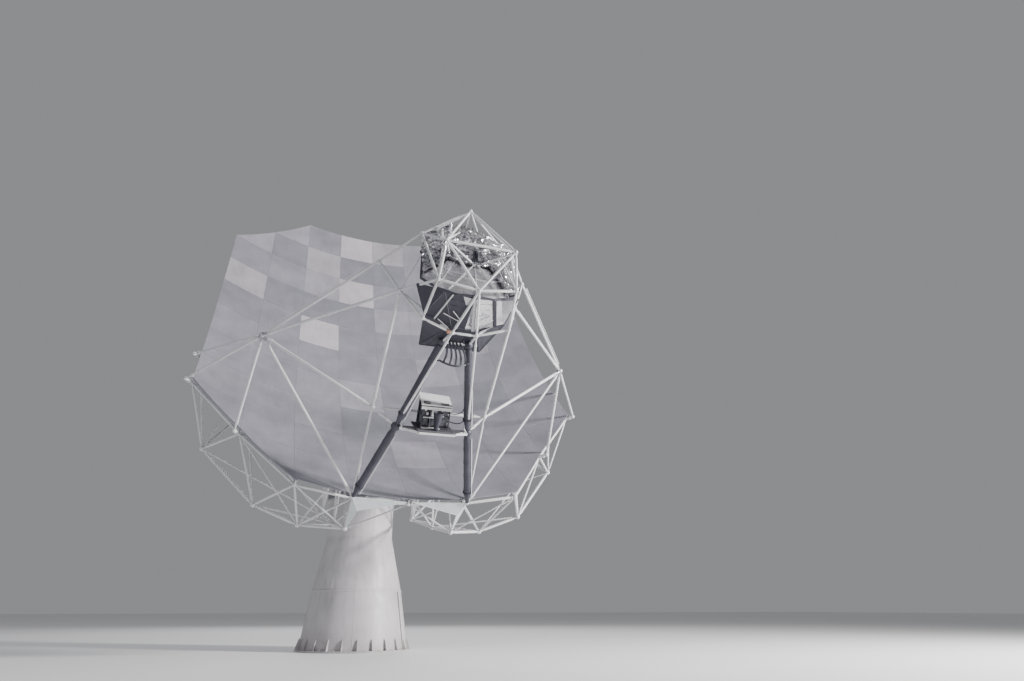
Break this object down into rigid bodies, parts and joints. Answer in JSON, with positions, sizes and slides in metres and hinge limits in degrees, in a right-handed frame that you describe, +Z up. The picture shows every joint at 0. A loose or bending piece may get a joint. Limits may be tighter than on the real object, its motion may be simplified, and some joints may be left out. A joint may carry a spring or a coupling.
{
  "type": "radio telescope dish",
  "caption": "Steerable offset radio telescope: conical pedestal, yoke turnhead, panelled reflector on a tubular frame, and a caged secondary mirror on long struts",
  "frame": {"origin": "centre of the pedestal foot, on the ground, on the azimuth axis", "axes": "+Z up along the azimuth axis, -Y towards the side the reflector faces, X across along the elevation axis"},
  "size_m": [14.9938, 17.0615, 19.1511],
  "materials": {
    "cabinet_paint": "semi-gloss light grey paint",
    "dark_plate": "matt dark paint",
    "machinery_steel": "grey enamel",
    "mirror_metal": "smooth bare metal",
    "node_steel": "galvanised steel",
    "pedestal_paint": "satin off-white paint with rain streaks",
    "reflector_panels": "matt light grey painted panels, each in its own tone",
    "tube_paint": "satin white paint on round tube"
  },
  "bodies": {
    "pedestal": {"pedestal_foot": "pedestal_paint", "pedestal_lower_cone": "pedestal_paint", "pedestal_upper_cone": "pedestal_paint", "pedestal_neck": "pedestal_paint"},
    "turnhead": {"azimuth_bearing": "machinery_steel", "turnhead_drum": "pedestal_paint", "yoke_left": "pedestal_paint", "yoke_right": "pedestal_paint", "elevation_drive": "machinery_steel"},
    "dish": {"main_truss_left": "tube_paint", "side_frame_left": "tube_paint", "main_truss_right": "tube_paint", "side_frame_right": "tube_paint", "centre_frame": "tube_paint", "elevation_torque_tube": "machinery_steel", "elevation_gear_sector": "machinery_steel", "reflector_column_1": "reflector_panels", "reflector_column_2": "reflector_panels", "reflector_column_3": "reflector_panels", "reflector_column_4": "reflector_panels", "reflector_column_5": "reflector_panels", "reflector_column_6": "reflector_panels", "reflector_column_7": "reflector_panels", "reflector_column_8": "reflector_panels", "wing_node_left": "node_steel", "leg_left": "tube_paint", "strut_left_wing_to_cage_top": "tube_paint", "strut_left_wing_to_cage_side": "tube_paint", "strut_left_wing_to_foot": "tube_paint", "strut_left_wing_to_rim": "tube_paint", "strut_left_wing_to_corner": "tube_paint", "strut_left_wing_to_edge": "tube_paint", "strut_left_wing_to_elbow": "tube_paint", "strut_left_elbow_to_cage": "tube_paint", "strut_left_elbow_to_foot": "tube_paint", "strut_left_platform_to_chin": "tube_paint", "wing_node_right": "node_steel", "leg_right": "tube_paint", "strut_right_wing_to_cage_top": "tube_paint", "strut_right_wing_to_cage_side": "tube_paint", "strut_right_wing_to_foot": "tube_paint", "strut_right_wing_to_rim": "tube_paint", "strut_right_wing_to_corner": "tube_paint", "strut_right_wing_to_edge": "tube_paint", "strut_right_wing_to_elbow": "tube_paint", "strut_right_elbow_to_cage": "tube_paint", "strut_right_elbow_to_foot": "tube_paint", "strut_right_platform_to_chin": "tube_paint", "elbow_cross_bar": "tube_paint", "secondary_cage": "tube_paint", "secondary_mirror": "mirror_metal", "mirror_shroud": "dark_plate", "feed_platform_frame": "tube_paint", "feed_platform_deck": "node_steel", "receiver_cabinet": "cabinet_paint", "receiver_cabinet_roof": "cabinet_paint", "feed_horn": "mirror_metal"}
  },
  "joints": [
    {"name": "azimuth", "type": "hinge", "parent": "pedestal", "child": "turnhead", "pos_m": [0, 0, 5.9], "axis": [0, 0, 1], "range_deg": [-270, 270]},
    {"name": "elevation", "type": "hinge", "parent": "turnhead", "child": "dish", "pos_m": [0, -1.55, 8.6], "axis": [-1, 0, 0], "range_deg": [-45, 27.6]}
  ]
}
